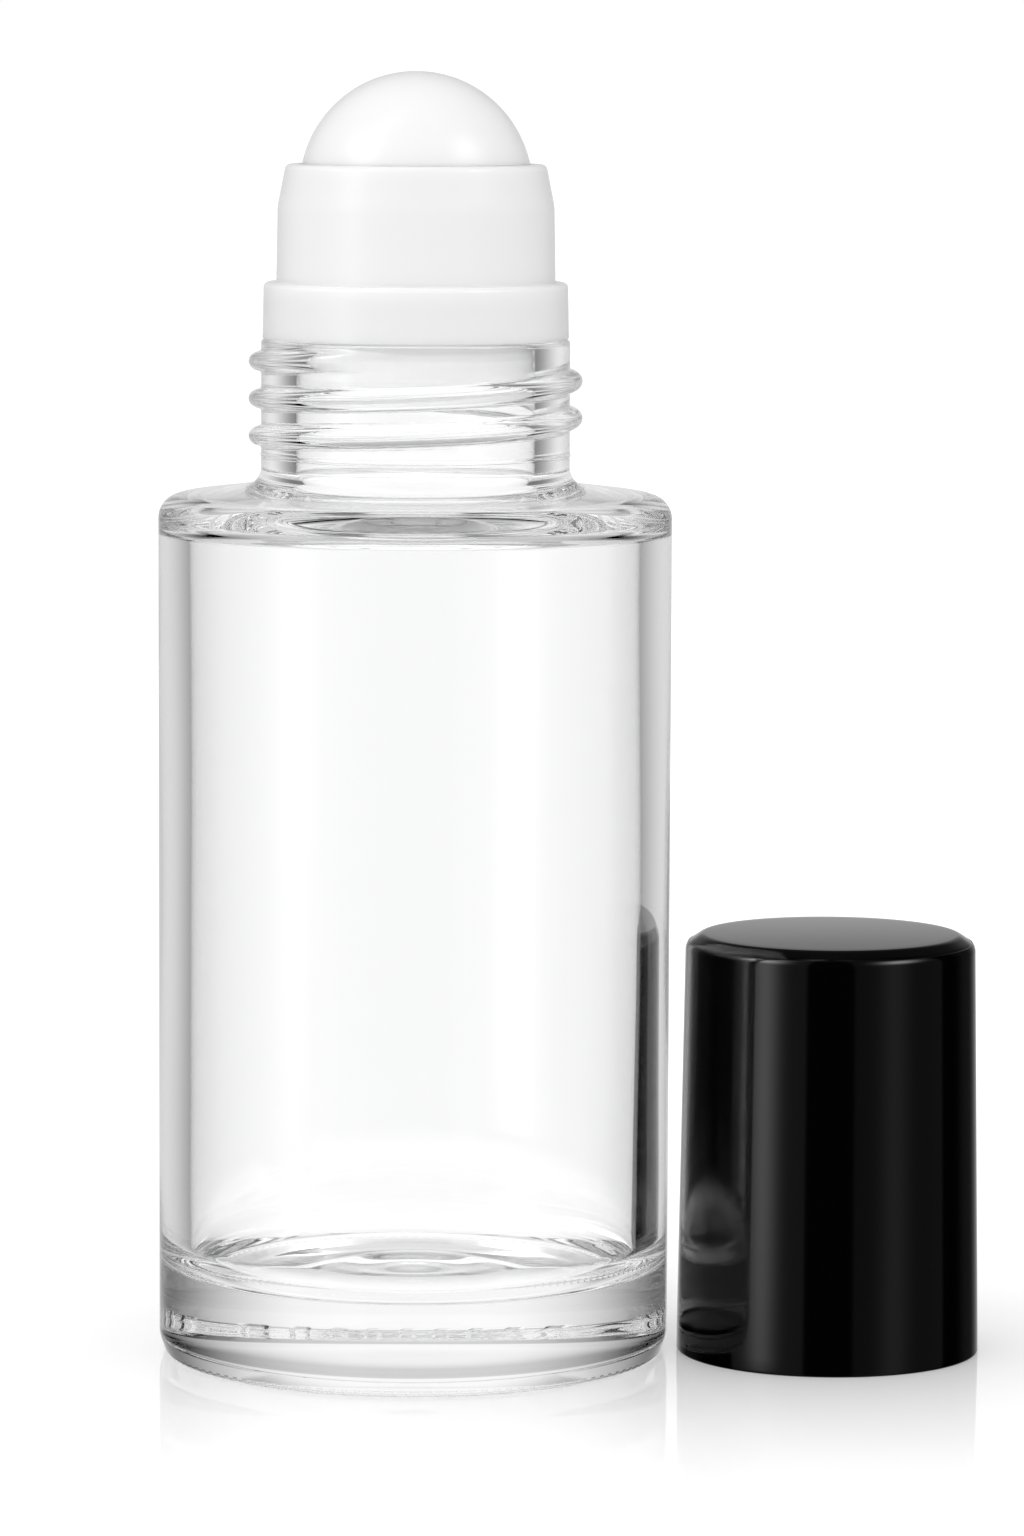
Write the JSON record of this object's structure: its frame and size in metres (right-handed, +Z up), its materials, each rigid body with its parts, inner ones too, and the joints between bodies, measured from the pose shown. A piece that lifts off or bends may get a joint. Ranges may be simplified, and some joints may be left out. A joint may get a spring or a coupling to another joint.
{
  "type": "roll on bottle",
  "caption": "Clear glass bottle with a threaded neck, a plastic ball housing pushed into the neck, a rolling ball, and a tapered push-on cap standing beside it.",
  "frame": {"origin": "centre of the bottle's foot, on the surface that it stands on", "axes": "+Z up along the bottle's axis, +X towards the cap that stands beside it, -Y towards the viewer"},
  "size_m": [0.0613, 0.038, 0.0953],
  "materials": {
    "clear_glass": "clear polished",
    "housing_plastic": "translucent white satin",
    "ball_plastic": "white polished",
    "cap_plastic": "glossy black",
    "insert_plastic": "natural satin"
  },
  "bodies": {
    "bottle": {"glass_bottle": "clear_glass"},
    "housing": {"ball_housing": "housing_plastic"},
    "ball": {"roller_ball": "ball_plastic"},
    "cap": {"cap_shell": "cap_plastic", "cap_insert": "insert_plastic"}
  },
  "joints": [
    {"name": "housing_pull", "type": "slide", "parent": "bottle", "child": "housing", "axis": [0, 0, 1], "range_m": [0, 0.02]},
    {"name": "ball_roll", "type": "hinge", "parent": "housing", "child": "ball", "pos_m": [0, 0, 0.08669], "axis": [1, 0, 0], "continuous": true},
    {"name": "cap_lift", "type": "slide", "parent": "bottle", "child": "cap", "axis": [0, 0, 1], "range_m": [0, 0.1]}
  ]
}
